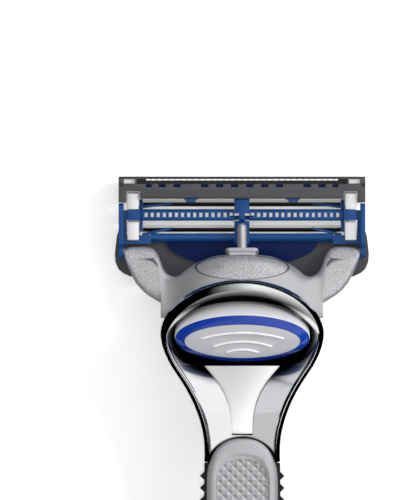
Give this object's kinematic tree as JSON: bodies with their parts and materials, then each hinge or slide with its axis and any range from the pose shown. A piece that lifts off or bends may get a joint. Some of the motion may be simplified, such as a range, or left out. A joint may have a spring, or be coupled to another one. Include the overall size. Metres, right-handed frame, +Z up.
{
  "type": "cartridge razor",
  "caption": "Cartridge razor with a hoop-necked chrome handle, a sprung swinging blade cartridge and a thumb-pushed release button; lies flat on its shaving face.",
  "frame": {"origin": "centre of the object's outline on the table it lies on, shaving face down", "axes": "+X across the blades, +Y along the handle toward the blades, +Z up from the table"},
  "size_m": [0.0434, 0.1448, 0.0194],
  "materials": {
    "blue_plastic": "semi-gloss moulded plastic",
    "cap_grey": "satin moulded plastic",
    "strip_pale": "dry lubricating strip",
    "elastomer_grey": "soft matt elastomer",
    "blade_steel": "ground blade strip",
    "support_black": "dark coated strip",
    "clip_silver": "satin",
    "yoke_silver": "satin silver with fine sand texture",
    "chrome": "polished",
    "core_dark": "plain",
    "plunger_silver": "satin silver",
    "spring_steel": "drawn wire",
    "button_silver": "glossy silver",
    "band_blue": "glossy",
    "face_silver": "satin silver",
    "rubber_black": "matt"
  },
  "bodies": {
    "handle": {"handle_frame": "chrome", "docking_core": "core_dark", "finger_pad": "face_silver", "thumb_pad": "rubber_black", "spine_inlay": "face_silver", "grip_sleeve": "rubber_black", "tail_cap": "chrome", "plunger_spring": "spring_steel", "ejector_spring": "spring_steel"},
    "yoke": {"yoke": "yoke_silver"},
    "cartridge": {"cartridge_frame": "blue_plastic", "guard_comb": "blue_plastic", "rear_cap": "cap_grey", "cap_strip": "strip_pale", "guard_elastomer": "elastomer_grey", "upper_blade": "blade_steel", "upper_blade_support": "support_black", "lower_blade": "blade_steel", "lower_blade_support": "support_black", "trimmer_blade": "blade_steel", "clip_left": "clip_silver", "clip_right": "clip_silver"},
    "plunger": {"plunger": "plunger_silver"},
    "eject_button": {"ejector_slider": "core_dark", "button_skirt": "button_silver", "button_band": "band_blue", "button_face": "face_silver"}
  },
  "joints": [
    {"name": "cartridge_release", "type": "slide", "parent": "handle", "child": "yoke", "axis": [0, 0.9397, -0.342], "range_m": [0, 0.012]},
    {"name": "cartridge_pivot", "type": "hinge", "parent": "yoke", "child": "cartridge", "pos_m": [0, 0.05967, 0.0036], "axis": [1, 0, 0], "range_deg": [0, 40], "stiffness_Nm_per_rad": 0.008, "springref_deg": -20.05},
    {"name": "plunger_slide", "type": "slide", "parent": "handle", "child": "plunger", "axis": [0, -0.9397, 0.342], "range_m": [0, 0.0033], "deforming": ["plunger_spring"]},
    {"name": "button_slide", "type": "slide", "parent": "handle", "child": "eject_button", "axis": [0, 1, 0], "range_m": [0, 0.0008], "stiffness_N_per_m": 600, "springref_m": -0.001, "deforming": ["ejector_spring"]}
  ],
  "couplings": [
    {"joint": "plunger_slide", "follows": "cartridge_pivot", "m_per_rad": 0.0046983}
  ]
}
